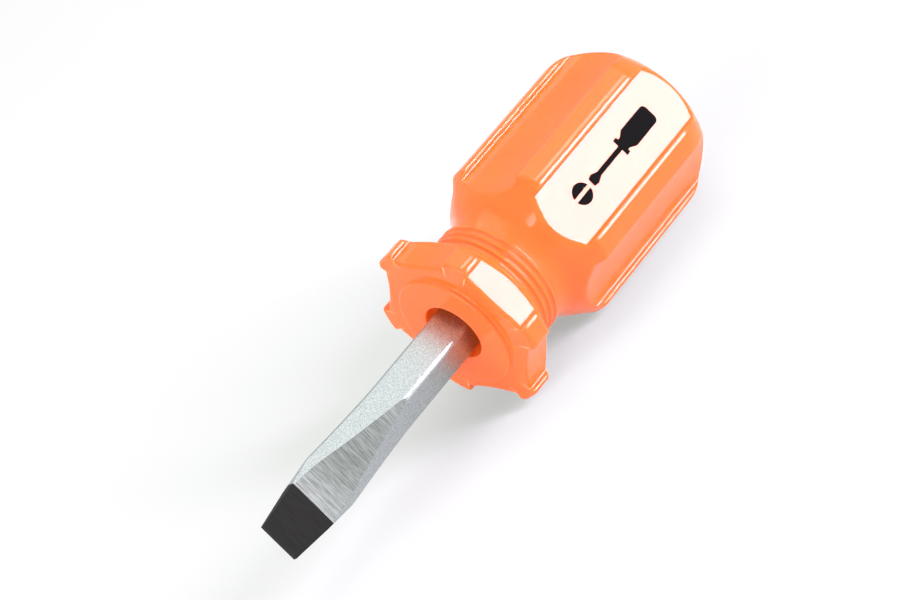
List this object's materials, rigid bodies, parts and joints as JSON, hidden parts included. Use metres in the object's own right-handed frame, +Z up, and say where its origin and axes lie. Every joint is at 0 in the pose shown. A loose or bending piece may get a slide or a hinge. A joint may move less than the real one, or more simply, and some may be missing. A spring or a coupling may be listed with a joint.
{
  "type": "stubby slotted screwdriver",
  "caption": "Stubby flat-blade screwdriver: a short fluted plastic handle with a ribbed neck and a notched collar on a square steel blade with a ground, blackened tip.",
  "frame": {"origin": "on the surface that the tool lies on, below the middle of its length", "axes": "+X along the tool's axis towards the tip, +Z up with two lobes of the handle on the surface"},
  "size_m": [0.0848, 0.0266, 0.0245],
  "materials": {
    "handle_plastic": "moulded, glossy, fluorescent orange, slightly translucent",
    "blade_steel": "satin plated, with bare ground faces and a blackened tip"
  },
  "bodies": {
    "root": {"handle": "handle_plastic", "blade": "blade_steel"}
  },
  "joints": []
}
